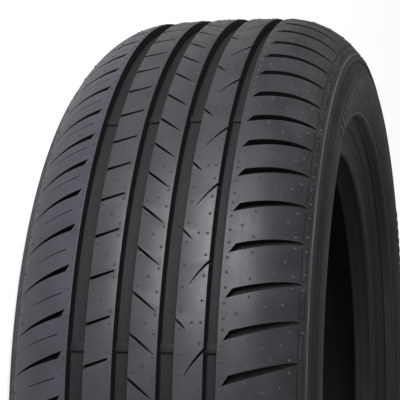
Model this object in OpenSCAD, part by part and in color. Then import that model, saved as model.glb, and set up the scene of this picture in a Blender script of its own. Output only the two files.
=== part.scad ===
// Passenger car tyre, unmounted, lying on one sidewall with its axle along +Z.
// The origin is the centre of the tyre: on the axle, midway between the beads.
// Angles round the tyre run clockwise seen from +Z and start at -Y.
// Heights above the mid-plane are called across, distances from the axle are radii.

/* [Tyre] */
// Diameter over the middle of the tread
outer_d = 632; // [618:1:650]
// Width between the widest points of the two sidewalls
section_w = 214.6; // [211:0.2:222]
// Diameter at which the sidewalls are widest
widest_d = 520; // [512:1:526]
// Radius of the sidewall's outward bulge
sidewall_r = 36.5; // [33:0.5:40]

/* [Tread] */
// Width of the nearly flat middle of the tread
crown_w = 100; // [90:1:104]
// Radius of the crown across the tread
crown_r = 924; // [600:4:1400]
// Radius of the rounded shoulders
shoulder_r = 63; // [60:0.5:66]
// Depth of the grooves that run round the tyre
groove_depth = 7.5; // [5:0.1:8.5]
// Draft of the groove walls, in degrees
groove_draft = 6; // [0:1:12]
// Radius at the foot of the groove walls
groove_fillet = 1.4; // [0.5:0.1:2.2]
// Width of the rib in the middle
centre_rib_w = 19; // [14:0.5:22]
// Width of the two ribs beside it
mid_rib_w = 19.4; // [14:0.5:22]
// Width of the two grooves beside the middle rib
inner_groove_w = 10.9; // [7:0.1:12]
// Width of the outer groove on the lower side
lower_groove_w = 11.8; // [7:0.1:12]
// Width of the outer groove on the upper side
upper_groove_w = 8.5; // [7:0.1:12]

/* [Wear bars] */
// Number of wear bars in each groove
wear_bars = 11; // [6:1:16]
// Height of a wear bar above the groove floor
wear_bar_h = 1.6; // [1:0.1:2.4]
// Length of a wear bar along the groove
wear_bar_l = 6.5; // [4:0.5:10]
// Angle of the first wear bar, in degrees
wear_bar_at = 22.9; // [0:0.1:32]

/* [Pitches] */
// Number of times the group of pitches repeats round the tyre
pitch_groups = 6; // [4:2:8]
// Angle of the first pitch, in degrees
first_pitch_at = 20.25; // [0:0.05:60]

/* [Shoulder grooves] */
// Depth of the shoulder grooves at their inner end
shoulder_groove_depth = 6.2; // [3:0.1:7]
// Width of the upper shoulder grooves at their inner end
upper_shoulder_groove_w = 5.4; // [3:0.1:7]
// Width of the lower shoulder grooves at their inner end
lower_shoulder_groove_w = 4.4; // [3:0.1:6]
// Gap between an outer groove and the tips of the shoulder grooves
shoulder_gap = 3.6; // [2:0.1:5]
// Distance from the mid-plane to where the shoulder grooves run out
shoulder_groove_end = 97.5; // [92:0.5:98]

/* [Sipes and slots] */
// Width of the narrow sipes
sipe_w = 0.7; // [0.6:0.1:1.2]
// Width of the slits in the ribs at their open end
slit_w = 2.6; // [1.4:0.1:3.2]
// Depth of the slits and slots in the ribs
slit_depth = 5.8; // [3:0.1:7]
// Depth of the shallow sipes in the lower shoulder
shoulder_sipe_depth = 3; // [1:0.1:5]
// Width that a slit leaves standing before the next groove
slit_land = 3.2; // [2:0.1:5]

/* [Sidewall] */
// Diameter of the ridge between shoulder and sidewall
ridge_d = 567; // [562:1:572]
// Height of that ridge
ridge_h = 0.9; // [0.5:0.1:1.5]
// Diameter at which the smooth sidewall panel begins
panel_d = 558; // [550:1:560]
// Diameter at which that panel ends and the belt below it begins
belt_d = 538; // [532:1:544]
// Depth of the smooth panel below the belt
panel_sink = 0.6; // [0.2:0.1:1.2]
// Height of the band above the panel, out to the ridge
band_h = 1.5; // [0.6:0.1:2]
// Outer diameter of the rib that guards the wheel's rim
guard_d = 476; // [468:1:484]
// Width of the rim guard
guard_w = 3.6; // [2.5:0.1:5]
// Height of the rim guard
guard_h = 1.6; // [1:0.1:2.5]
// Height of the fitting lines below the rim guard
fitting_line_h = 0.8; // [0.4:0.1:1.2]

/* [Beads] */
// Diameter of the bead seats, which is the nominal size of the wheel
seat_d = 405.6; // [400:0.2:411]
// Width between the outer faces of the two beads
bead_gauge = 168.6; // [164:0.2:172]
// Length of the cylindrical stretch of a bead seat
seat_l = 7; // [5:0.5:8]
// Width of a bead from heel to toe
bead_w = 18; // [15:0.5:20]
// Taper of the bead towards its toe, in degrees
toe_taper = 14; // [8:1:18]
// Radius of the bead heel
heel_r = 3.2; // [2:0.1:4]

/* [Walls] */
// Thickness of the tread with its belts, from the crown to the liner
tread_t = 12.8; // [11.5:0.1:16]
// Thickness of the sidewall at its widest
sidewall_t = 7; // [5:0.1:9]
// Radius of the liner under the shoulder
liner_shoulder_r = 46; // [40:0.5:52]

/* [Hidden] */
$fn = 96;

rubber = [0.13, 0.13, 0.14];
// Overlap and reach of the cutters, the step of the arcs and the rounding at the ends of the shoulder arc, in degrees
eps = 0.5;
reach = 8;
arc_step = 9;
ease = 1.2;
fillet_turn = 60;

// Shoulder grooves: slant, steps of the outline and of the floor, how late the floor rises and the depth it ends at
blade_slope = 0.3;
blade_steps = 3;
floor_steps = 3;
floor_fade = 2.5;
end_depth = 0.8;
// Shape of the upper and of the lower ones: length of the pointed tip, bend, and how their width fades
upper_tip_l = 4.2;
upper_bend = -0.4;
upper_fade = 2;
upper_roundness = 0.5;
lower_tip_l = 2.5;
lower_bend = 2.4;
lower_fade = 1.15;
lower_roundness = 1;
lower_end_gap = 1.5;

// Sipes and slots: rise along the tread over their length, and where they end
slit_slope = 0.37;
centre_sipe_slope = -0.845;
centre_sipe_land = 2.6;
notch_l = 7;
notch_rise = -7.8;
slot_l = 12.4;
slot_rise = -17.5;
slot_bow = 1.2;
slot_steps = 5;
shoulder_sipe_from = 4;
shoulder_sipe_l = 22.5;
shoulder_sipe_rise = -6.4;

// Relative lengths of the pitches in one group, which keep the tread from humming
pitch_lengths = [50, 56, 54, 50, 46, 44, 48, 50, 48, 46, 53, 52];
pitches = pitch_groups * len(pitch_lengths);

// Places of each feature from the start of its pitch, in degrees
centre_sipe_at = 4.27;
notch_at = 1.07;
slot_at = 2.45;
upper_shoulder_at = 3.45;
lower_shoulder_at = 2.0;
shoulder_sipe_at = 4.0;

// Edges of the grooves, from the mid-plane
rib_edge = centre_rib_w / 2;
inner_groove_edge = rib_edge + inner_groove_w;
outer_rib_edge = inner_groove_edge + mid_rib_w;
lower_edge = outer_rib_edge + lower_groove_w;
upper_edge = outer_rib_edge + upper_groove_w;

// Crown and shoulder: the shoulder arc takes over from the crown arc at a tangent
shoulder_in = 60.71;
crown_end = crown_w / 2;
crown_turn = asin(crown_end / crown_r);
function crown_at(across) = outer_d / 2 - crown_r + sqrt(crown_r * crown_r - across * across);
shoulder_centre = [section_w / 2 - shoulder_in, crown_at(crown_end) - shoulder_r * cos(crown_turn)];
shoulder_turn = acos((ridge_d / 2 - shoulder_centre[1]) / shoulder_r);
ridge_across = shoulder_centre[0] + shoulder_r * sin(shoulder_turn);

// Sidewall: one arc with its centre at the height of the widest point
sidewall_centre = [section_w / 2 - sidewall_r, widest_d / 2];
panel_turn = acos((panel_d / 2 - sidewall_centre[1]) / sidewall_r);
belt_turn = acos((belt_d / 2 - sidewall_centre[1]) / sidewall_r);
guard_turn = acos((guard_d / 2 - sidewall_centre[1]) / sidewall_r);
guard_across = sidewall_centre[0] + sidewall_r * sin(guard_turn);
guard_foot = [guard_across - guard_h * 2, guard_d / 2 - guard_w - 0.6];

// Hollow above the bead, where the flange of the wheel lies
flange_h = 8.2;
flange_lip = 1;
flange_steps = 6;
flange_foot = [bead_gauge / 2 + flange_lip, seat_d / 2 + flange_h];
// Places of the fitting lines in that hollow, as the turn from the rim guard, and their width there
fitting_lines_at = [21, 51];
fitting_line_turn = 6;

// Beads
heel_across = bead_gauge / 2;
seat_r = seat_d / 2;
toe_across = heel_across - bead_w;
toe_r = seat_r - (bead_w - heel_r - seat_l) * tan(toe_taper);

// Liner
liner_r = outer_d / 2 - tread_t;
liner_sidewall_r = sidewall_r - sidewall_t;
liner_join = 75;
liner_foot = 128;
toe_h = 9;
toe_round = 1.6;
liner_end = sidewall_centre[0] + liner_sidewall_r * sin(liner_join) - liner_shoulder_r * sin(liner_join);
// Thickness left between the liner and the middle of the hollow for the flange
flange_wall = 6.2;

// Points of an arc about a centre in the plane of across and radius; 0 degrees points outwards
function arc(centre, r, from, to) =
    let (steps = max(2, ceil(abs(to - from) / arc_step)))
    [for (i = [0:steps]) let (a = from + (to - from) * i / steps)
        centre + r * [sin(a), cos(a)]];

// Radius of the tread's surface and the turn of the shoulder arc, at a distance from the mid-plane
function shoulder_turn_at(across) = max(crown_turn, asin((across - shoulder_centre[0]) / shoulder_r));
function surface_at(across) =
    abs(across) <= crown_end ? crown_at(across)
        : shoulder_centre[1] + shoulder_r * cos(shoulder_turn_at(abs(across)));

// Outside of one half of the tyre, from the last groove edge down to the heel of the bead
function outside(from) = concat(
    arc(shoulder_centre, shoulder_r, shoulder_turn_at(from) + ease, shoulder_turn - ease),
    [[ridge_across + ridge_h / 3, ridge_d / 2 + ridge_h * 0.7],
     [ridge_across + ridge_h, ridge_d / 2 - ridge_h / 4],
     [ridge_across + ridge_h * 0.9, ridge_d / 2 - ridge_h * 1.5]],
    arc(sidewall_centre, sidewall_r + band_h, panel_turn - 2 * ease, panel_turn),
    arc(sidewall_centre, sidewall_r - panel_sink, panel_turn + ease, belt_turn - ease),
    arc(sidewall_centre, sidewall_r, belt_turn, guard_turn),
    [[guard_across + guard_h * 0.55, guard_d / 2 - guard_w * 0.28],
     [guard_across + guard_h * 0.4, guard_d / 2 - guard_w * 0.55],
     [guard_across - guard_h * 0.6, guard_d / 2 - guard_w],
     guard_foot],
    flange_points(),
    arc([heel_across - heel_r, seat_r + heel_r], heel_r, 95, 180));

// The hollow for the flange, from the rim guard down to the heel: a quarter of an ellipse with its fitting lines
function flange_at(turn) =
    [flange_foot[0] + (guard_foot[0] - flange_foot[0]) * (1 - sin(turn)),
     guard_foot[1] + (flange_foot[1] - guard_foot[1]) * (1 - cos(turn))];
function fitting_line(turn) =
    [flange_at(turn - fitting_line_turn / 2),
     flange_at(turn) + fitting_line_h * [sin(turn), -cos(turn)],
     flange_at(turn + fitting_line_turn / 2)];
function flange_points() =
    let (first = fitting_lines_at[0], second = fitting_lines_at[1], step = 90 / flange_steps)
    concat(fitting_line(first),
           [for (a = [first + step:step:second - step / 2]) flange_at(a)],
           fitting_line(second),
           [for (a = [second + step:step:90]) flange_at(a)],
           [flange_foot]);

// Inside of one half, from the toe of the bead up to the middle of the liner
function inside() = concat(
    [[heel_across - heel_r - seat_l, seat_r],
     [toe_across + toe_round, toe_r],
     [toe_across + toe_round / 4, toe_r + toe_round / 4],
     [toe_across, toe_r + toe_round],
     [toe_across + toe_round, toe_r + toe_h],
     flange_at(45) - [flange_wall, 0]],
    arc(sidewall_centre, liner_sidewall_r, liner_foot, liner_join + arc_step),
    arc([liner_end, liner_r - liner_shoulder_r], liner_shoulder_r, liner_join, arc_step),
    [[liner_end, liner_r]]);

// One groove between two edges, from one edge to the other over its floor
function groove_points(from, to) =
    let (f = groove_fillet,
         lean = (groove_depth - f) * tan(groove_draft),
         floor_r = crown_at((from + to) / 2) - groove_depth)
    concat([[from, surface_at(from)], [from + lean, floor_r + f]],
           arc([from + lean + f, floor_r + f], f, 180 + fillet_turn, 180),
           arc([to - lean - f, floor_r + f], f, 180, 180 - fillet_turn),
           [[to - lean, floor_r + f], [to, surface_at(to)]]);

function flipped(points) = [for (i = [len(points) - 1:-1:0]) [-points[i][0], points[i][1]]];

// Whole section, from the lower liner over the tread to the upper liner
function section() = concat(
    flipped(concat(outside(lower_edge), inside())),
    groove_points(-lower_edge, -outer_rib_edge),
    groove_points(-inner_groove_edge, -rib_edge),
    groove_points(rib_edge, inner_groove_edge),
    groove_points(outer_rib_edge, upper_edge),
    outside(upper_edge),
    inside());

// Angle at which a pitch starts
function sum_to(list, n) = n <= 0 ? 0 : list[n - 1] + sum_to(list, n - 1);
group_length = sum_to(pitch_lengths, len(pitch_lengths));
function pitch_at(k) =
    let (n = len(pitch_lengths))
    first_pitch_at + 360 / pitch_groups * (floor(k / n) + sum_to(pitch_lengths, k % n) / group_length);

// Turns its children to an angle round the tyre, with +X outwards and +Z across
module at(angle) {
    rotate([0, 0, -90 - angle]) children();
}

// Prism through the tread from an outline in [across, along], above a radius
module cutter(outline, floor_r) {
    translate([floor_r, 0, 0])
        rotate([0, 90, 0])
            linear_extrude(outer_d / 2 + reach - floor_r)
                polygon([for (p = outline) -p]);
}

// Outline of a straight slit that narrows from its open end to its tip
function slit_outline(from, to, rise, wide, narrow) =
    [[from, -wide / 2], [from, wide / 2], [to, rise + narrow / 2], [to, rise - narrow / 2]];

// Outline of a slot that bows as it narrows
function slot_outline(from, to, rise, bow, wide, narrow) =
    let (edge = function (t, side)
             [from + (to - from) * t,
              rise * t + bow * 4 * t * (1 - t) + side * (wide + (narrow - wide) * t) / 2])
    concat([for (i = [0:slot_steps]) edge(i / slot_steps, 1)],
           [for (i = [slot_steps:-1:0]) edge(i / slot_steps, -1)]);

// Outline of a shoulder groove: a slanted blade with a sharp tip at its inner end.
// side is 1 for the upper shoulder and -1 for the lower one, where it points the other way.
function blade_outline(side, tip, end, wide, tip_l, bend, fade, roundness) =
    let (long = end - tip,
         middle = function (t) side * (wide / 2 + blade_slope * long * t + bend * pow(t, 4)),
         half = function (t) side * max(sipe_w / 4, wide / 2 * pow(1 - pow(t, fade), roundness)),
         point = function (t, edge) [side * (tip + long * t), middle(t) + edge * half(t)])
    concat([for (i = [0:blade_steps]) point(tip_l / long + (1 - tip_l / long) * i / blade_steps, 1)],
           [for (i = [blade_steps:-1:0]) point(i / blade_steps, -1)]);

// Floor of a cut in a shoulder as [radius, across], which rises to the surface at its outer end
function shoulder_floor(side, depth, tip, end, steps) =
    let (from = shoulder_turn_at(tip), to = shoulder_turn_at(end))
    [for (i = [0:steps])
        let (a = from + (to - from) * i / steps,
             r = shoulder_r - depth * (1 - pow(i / steps, floor_fade)) - end_depth)
        [shoulder_centre[1] + r * cos(a), side * (shoulder_centre[0] + r * sin(a))]];

// Cut in a shoulder: the outline seen from outside, down to a floor seen along the tread
module shoulder_cutter(side, outline, depth, tip, end, steps = floor_steps) {
    top = outer_d / 2 + reach;
    floor_line = shoulder_floor(side, depth, tip, end, steps);
    inner = floor_line[0];
    outer = floor_line[steps];
    intersection() {
        cutter(outline, outer[0] - reach);
        translate([0, section_w / 4, 0])
            rotate([90, 0, 0])
                linear_extrude(section_w / 2)
                    polygon(concat([[inner[0], inner[1] - side * reach]], floor_line,
                                   [[outer[0] - reach, outer[1] + side * reach],
                                    [top, outer[1] + side * reach], [top, inner[1] - side * reach]]));
    }
}

// Blades and fine sipes of the lower shoulder
module lower_shoulder_cuts() {
    tip = lower_edge + shoulder_gap;
    end = shoulder_groove_end - lower_end_gap;
    sipe_from = tip + shoulder_sipe_from;
    sipe_to = sipe_from + shoulder_sipe_l;
    for (k = [0:pitches - 1]) {
        at(pitch_at(k) + lower_shoulder_at)
            shoulder_cutter(-1, blade_outline(-1, tip, end, lower_shoulder_groove_w,
                                              lower_tip_l, lower_bend, lower_fade, lower_roundness),
                            shoulder_groove_depth, tip, end);
        at(pitch_at(k) + shoulder_sipe_at)
            shoulder_cutter(-1, slit_outline(-sipe_from, -sipe_to, shoulder_sipe_rise, sipe_w, sipe_w),
                            shoulder_sipe_depth - end_depth, sipe_from, sipe_to, 1);
    }
}

// Blades of the upper shoulder
module upper_shoulder_cuts() {
    tip = upper_edge + shoulder_gap;
    for (k = [0:pitches - 1])
        at(pitch_at(k) + upper_shoulder_at)
            shoulder_cutter(1, blade_outline(1, tip, shoulder_groove_end, upper_shoulder_groove_w,
                                             upper_tip_l, upper_bend, upper_fade, upper_roundness),
                            shoulder_groove_depth, tip, shoulder_groove_end);
}

// Slits, sipes and slots of the three middle ribs
module rib_cuts() {
    floor_r = outer_d / 2 - slit_depth;
    for (k = [0:pitches - 1]) {
        at(pitch_at(k))
            cutter(slit_outline(-outer_rib_edge - 1, -inner_groove_edge - slit_land,
                                (mid_rib_w - slit_land) * slit_slope, slit_w, slit_w / 2), floor_r);
        at(pitch_at(k) + centre_sipe_at)
            cutter(slit_outline(-rib_edge - 1, rib_edge - centre_sipe_land,
                                (centre_rib_w - centre_sipe_land) * centre_sipe_slope,
                                sipe_w * 2, sipe_w), floor_r);
        if (k % 2 == 1)
            at(pitch_at(k) + notch_at)
                cutter(slit_outline(inner_groove_edge - 1, inner_groove_edge + notch_l,
                                    notch_rise, sipe_w * 2, sipe_w), floor_r);
        else
            at(pitch_at(k) + slot_at)
                cutter(slot_outline(outer_rib_edge + 1, outer_rib_edge - slot_l,
                                    slot_rise, slot_bow, slit_w, sipe_w), floor_r);
    }
}

// Bars across the groove floors that come level with the worn tread
module wear_bars_in(from, to) {
    middle = (from + to) / 2;
    floor_r = crown_at(middle) - groove_depth;
    for (i = [0:wear_bars - 1])
        at(wear_bar_at + 360 / wear_bars * i)
            translate([floor_r - eps, -wear_bar_l / 2, from])
                cube([wear_bar_h + eps, wear_bar_l, to - from]);
}

// The tyre, moulded as one piece
module tyre() {
    color(rubber)
        difference() {
            union() {
                rotate_extrude()
                    polygon([for (p = section()) [p[1], p[0]]]);
                wear_bars_in(-lower_edge, -outer_rib_edge);
                wear_bars_in(-inner_groove_edge, -rib_edge);
                wear_bars_in(rib_edge, inner_groove_edge);
                wear_bars_in(outer_rib_edge, upper_edge);
            }
            rib_cuts();
            lower_shoulder_cuts();
            upper_shoulder_cuts();
        }
}

tyre();
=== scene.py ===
"""A passenger car tyre, unmounted, lying on its lower sidewall with its axle along +Z.

Heights above the middle plane are called across, distances from the axle are radii, and lengths
round the tread are called along. Angles round the tyre run clockwise seen from +Z and start at -Y.
Sizes of the tyre are held in millimetres, as a tyre maker writes them, and meshes are in metres.
"""

from __future__ import annotations

import logging
import math
from collections.abc import Callable
from dataclasses import dataclass
from enum import Enum

import bpy
from mathutils import Matrix, Vector
from mathutils.bvhtree import BVHTree

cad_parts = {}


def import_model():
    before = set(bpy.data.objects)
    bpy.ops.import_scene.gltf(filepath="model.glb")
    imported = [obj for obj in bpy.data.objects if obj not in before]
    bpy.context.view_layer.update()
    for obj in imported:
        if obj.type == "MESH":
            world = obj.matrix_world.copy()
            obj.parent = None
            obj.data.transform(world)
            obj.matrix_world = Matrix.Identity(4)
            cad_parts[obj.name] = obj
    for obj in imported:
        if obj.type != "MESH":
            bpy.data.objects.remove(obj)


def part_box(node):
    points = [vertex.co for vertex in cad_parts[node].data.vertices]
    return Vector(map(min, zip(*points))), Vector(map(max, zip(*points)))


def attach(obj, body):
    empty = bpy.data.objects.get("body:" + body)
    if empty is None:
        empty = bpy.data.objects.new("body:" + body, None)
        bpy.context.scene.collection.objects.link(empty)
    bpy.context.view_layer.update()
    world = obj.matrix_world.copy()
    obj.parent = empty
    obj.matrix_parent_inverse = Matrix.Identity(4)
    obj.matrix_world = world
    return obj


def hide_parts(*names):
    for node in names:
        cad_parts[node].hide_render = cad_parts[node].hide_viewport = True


log = logging.getLogger("tyre")

MM = 0.001
NODE = "tyre"
BODY = "root"

Point = tuple[float, float]
Socket = bpy.types.NodeSocket


class Side(Enum):
    """The two shoulders: the one that faces up and the one towards the floor."""

    UPPER = 1
    LOWER = -1


class Bench:
    """The modelling steps that every piece shares, each made with Blender's own operators."""

    @staticmethod
    def clear() -> None:
        """Deselects every object."""
        bpy.ops.object.select_all(action="DESELECT")

    @staticmethod
    def take(piece: bpy.types.Object, *others: bpy.types.Object) -> None:
        """Selects a piece and makes it the active one.

        Args:
            piece: The piece that becomes active.
            others: More pieces to select with it.
        """
        Bench.clear()
        for other in (piece, *others):
            other.select_set(True)
        bpy.context.view_layer.objects.active = piece

    @staticmethod
    def trace(name: str, points: list[Vector]) -> bpy.types.Object:
        """Draws a closed line by extruding one vertex from each point to the next.

        Args:
            name: Name of the new piece.
            points: Corners of the line, in metres.

        Returns:
            The piece, left in edit mode with all of its line selected.
        """
        Bench.clear()
        bpy.ops.mesh.primitive_plane_add(size=MM, location=points[0])
        piece = bpy.context.object
        piece.name = name
        bpy.ops.object.transform_apply(location=True)
        bpy.ops.object.mode_set(mode="EDIT")
        bpy.ops.mesh.select_mode(type="VERT")
        bpy.ops.mesh.select_all(action="SELECT")
        bpy.ops.mesh.merge(type="CENTER")
        for start, end in zip(points, points[1:]):
            bpy.ops.mesh.extrude_region_move(TRANSFORM_OT_translate={"value": end - start})
        bpy.ops.object.mode_set(mode="OBJECT")
        for index, vertex in enumerate(piece.data.vertices):
            vertex.select = index in (0, len(points) - 1)
        bpy.ops.object.mode_set(mode="EDIT")
        bpy.ops.mesh.edge_face_add()
        bpy.ops.mesh.select_all(action="SELECT")
        return piece

    @staticmethod
    def prism(name: str, points: list[Vector], depth: Vector) -> bpy.types.Object:
        """Draws an outline, fills it and extrudes it to a solid.

        Args:
            name: Name of the new piece.
            points: Corners of the outline, in metres.
            depth: Direction and length of the extrusion.

        Returns:
            The solid, in object mode.
        """
        piece = Bench.trace(name, points)
        bpy.ops.mesh.edge_face_add()
        bpy.ops.mesh.extrude_region_move(TRANSFORM_OT_translate={"value": depth})
        bpy.ops.mesh.select_all(action="SELECT")
        bpy.ops.mesh.normals_make_consistent(inside=False)
        bpy.ops.object.mode_set(mode="OBJECT")
        return piece

    @staticmethod
    def copy_turned(piece: bpy.types.Object, angle: float) -> bpy.types.Object:
        """Copies a piece with its own mesh and turns the copy about the axle.

        Args:
            piece: The piece to copy.
            angle: Turn about +Z in degrees.

        Returns:
            The copy, with the turn applied to its mesh.
        """
        Bench.take(piece)
        bpy.ops.object.duplicate(linked=False)
        copy = bpy.context.object
        copy.rotation_euler.z = math.radians(angle)
        bpy.ops.object.transform_apply(location=False, rotation=True, scale=False)
        return copy

    @staticmethod
    def join(name: str, pieces: list[bpy.types.Object]) -> bpy.types.Object:
        """Joins pieces into one object and names it.

        Args:
            name: Name of the joined piece.
            pieces: The pieces to join.

        Returns:
            The joined piece.
        """
        Bench.take(pieces[0], *pieces[1:])
        if len(pieces) > 1:
            bpy.ops.object.join()
        pieces[0].name = name
        return pieces[0]

    @staticmethod
    def boolean(piece: bpy.types.Object, tool: bpy.types.Object, operation: str) -> None:
        """Cuts, joins or intersects a piece with a tool and deletes the tool.

        Args:
            piece: The piece that is changed.
            tool: The other solid.
            operation: DIFFERENCE, UNION or INTERSECT.
        """
        Bench.take(piece)
        modifier = piece.modifiers.new(operation.title(), "BOOLEAN")
        modifier.operation = operation
        modifier.solver = "EXACT"
        modifier.object = tool
        bpy.ops.object.modifier_apply(modifier=modifier.name)
        bpy.data.objects.remove(tool)

    @staticmethod
    def pick(piece: bpy.types.Object, wanted: Callable[[bpy.types.MeshPolygon], bool]) -> None:
        """Opens a piece in edit mode with only some of its faces selected.

        Args:
            piece: The piece to open.
            wanted: Says of a face whether it is selected.
        """
        Bench.take(piece)
        bpy.ops.object.mode_set(mode="EDIT")
        bpy.ops.mesh.select_mode(type="FACE")
        bpy.ops.mesh.select_all(action="DESELECT")
        bpy.ops.object.mode_set(mode="OBJECT")
        for face in piece.data.polygons:
            face.select = wanted(face)
        bpy.ops.object.mode_set(mode="EDIT")

    @staticmethod
    def merge(piece: bpy.types.Object, distance: float = 0.01 * MM) -> None:
        """Merges the doubled vertices of a piece.

        Args:
            piece: The piece to clean.
            distance: How close two vertices are to count as one.
        """
        Bench.take(piece)
        bpy.ops.object.mode_set(mode="EDIT")
        bpy.ops.mesh.select_all(action="SELECT")
        bpy.ops.mesh.remove_doubles(threshold=distance)
        bpy.ops.object.mode_set(mode="OBJECT")

    @staticmethod
    def smooth(piece: bpy.types.Object, angle: float = 30.0) -> None:
        """Shades a piece smooth, with edges over an angle in degrees left sharp."""
        Bench.take(piece)
        bpy.ops.object.shade_smooth_by_angle(angle=math.radians(angle))


@dataclass(frozen=True)
class Section:
    """The tyre's section as points of across and radius, with the sizes of the CAD model."""

    outer_d: float = 632.0
    section_w: float = 214.6
    widest_d: float = 520.0
    sidewall_r: float = 36.5
    crown_w: float = 100.0
    crown_r: float = 924.0
    shoulder_r: float = 63.0
    shoulder_in: float = 60.71
    groove_depth: float = 7.5
    groove_draft: float = 6.0
    groove_fillet: float = 1.4
    groove_edge: float = 0.35
    centre_rib_w: float = 19.0
    mid_rib_w: float = 19.4
    inner_groove_w: float = 10.9
    lower_groove_w: float = 11.8
    upper_groove_w: float = 8.5
    ridge_d: float = 567.0
    ridge_h: float = 0.9
    ridge_turn: float = 1.0
    band_h: float = 1.5
    band_turn: float = 2.4
    blend_turn: float = 1.2
    panel_d: float = 558.0
    panel_sink: float = 0.6
    belt_d: float = 538.0
    guard_d: float = 476.0
    guard_w: float = 3.6
    guard_h: float = 1.6
    guard_step: float = 0.6
    flange_h: float = 8.2
    flange_lip: float = 1.0
    fitting_line_h: float = 0.8
    fitting_lines_at: tuple[float, float] = (21.0, 51.0)
    fitting_line_turn: float = 6.0
    fitting_line_flank: float = 0.85
    hollow_turns: tuple[float, ...] = (9.0, 32.0, 40.0, 63.0, 72.0, 81.0, 90.0)
    seat_d: float = 405.6
    bead_gauge: float = 168.6
    seat_l: float = 7.0
    bead_w: float = 18.0
    toe_taper: float = 14.0
    toe_h: float = 9.0
    toe_round: float = 1.6
    heel_r: float = 3.2
    tread_t: float = 12.8
    sidewall_t: float = 7.0
    liner_shoulder_r: float = 46.0
    liner_join: float = 75.0
    liner_foot: float = 128.0
    arc_step: float = 3.0

    @property
    def rib_edge(self) -> float:
        """Edge of the middle rib."""
        return self.centre_rib_w / 2

    @property
    def inner_groove_edge(self) -> float:
        """Outer edge of the two inner grooves."""
        return self.rib_edge + self.inner_groove_w

    @property
    def outer_rib_edge(self) -> float:
        """Outer edge of the two ribs beside the middle one."""
        return self.inner_groove_edge + self.mid_rib_w

    @property
    def lower_edge(self) -> float:
        """Outer edge of the lower outer groove."""
        return self.outer_rib_edge + self.lower_groove_w

    @property
    def upper_edge(self) -> float:
        """Outer edge of the upper outer groove."""
        return self.outer_rib_edge + self.upper_groove_w

    @property
    def grooves(self) -> tuple[Point, Point, Point, Point]:
        """The two edges of each groove, from the lower side to the upper one."""
        return (
            (-self.lower_edge, -self.outer_rib_edge),
            (-self.inner_groove_edge, -self.rib_edge),
            (self.rib_edge, self.inner_groove_edge),
            (self.outer_rib_edge, self.upper_edge),
        )

    def crown_at(self, across: float) -> float:
        """Radius of the crown at a height."""
        return self.outer_d / 2 - self.crown_r + math.sqrt(self.crown_r**2 - across**2)

    @property
    def shoulder_centre(self) -> Point:
        """Centre of the shoulder arc, which leaves the crown at a tangent."""
        end = self.crown_w / 2
        turn = math.asin(end / self.crown_r)
        return self.section_w / 2 - self.shoulder_in, self.crown_at(end) - self.shoulder_r * math.cos(turn)

    @property
    def wall_centre(self) -> Point:
        """Centre of the sidewall's arc, at the height of the widest point."""
        return self.section_w / 2 - self.sidewall_r, self.widest_d / 2

    def wall_turn(self, diameter: float) -> float:
        """Turn of the sidewall's arc where it passes a diameter, in degrees."""
        return math.degrees(math.acos((diameter / 2 - self.wall_centre[1]) / self.sidewall_r))

    def shoulder_turn_at(self, across: float) -> float:
        """Turn of the shoulder arc at a height, in degrees."""
        return math.degrees(math.asin((across - self.shoulder_centre[0]) / self.shoulder_r))

    @property
    def shoulder_turn(self) -> float:
        """Turn of the shoulder arc where it meets the ridge, in degrees."""
        return math.degrees(math.acos((self.ridge_d / 2 - self.shoulder_centre[1]) / self.shoulder_r))

    def surface_at(self, across: float) -> float:
        """Radius of the tread's surface at a height.

        Args:
            across: The height above or below the middle plane.

        Returns:
            The radius.
        """
        height = abs(across)
        if height <= self.crown_w / 2:
            return self.crown_at(height)
        return self.shoulder_centre[1] + self.shoulder_r * math.cos(math.radians(self.shoulder_turn_at(height)))

    def lean_at(self, across: float) -> float:
        """Lean of the tread's surface away from the axle's plane at a height, in degrees.

        Args:
            across: The height above or below the middle plane.

        Returns:
            The lean, with the sign of the height.
        """
        height = abs(across)
        turn = (
            math.degrees(math.asin(height / self.crown_r))
            if height <= self.crown_w / 2
            else self.shoulder_turn_at(height)
        )
        return math.copysign(turn, across)

    def spot(self, across: float, angle: float) -> Vector:
        """Place on the tread's surface at a height and an angle, in metres."""
        turn = math.radians(-90 - angle)
        return Vector((math.cos(turn), math.sin(turn), 0)) * self.surface_at(across) * MM + Vector((0, 0, across * MM))

    def normal(self, across: float, angle: float) -> Vector:
        """Direction square to the tread's surface at a height and an angle."""
        turn, lean = math.radians(-90 - angle), math.radians(self.lean_at(across))
        return Vector((math.cos(turn) * math.cos(lean), math.sin(turn) * math.cos(lean), math.sin(lean)))

    def arc(self, centre: Point, radius: float, start: float, end: float) -> list[Point]:
        """Points of an arc; 0 degrees points away from the axle.

        Args:
            centre: Centre of the arc.
            radius: Radius of the arc.
            start: First angle in degrees.
            end: Last angle in degrees.

        Returns:
            The points, both ends included.
        """
        steps = max(2, math.ceil(abs(end - start) / self.arc_step))
        angles = [math.radians(start + (end - start) * i / steps) for i in range(steps + 1)]
        return [(centre[0] + radius * math.sin(a), centre[1] + radius * math.cos(a)) for a in angles]

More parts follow.
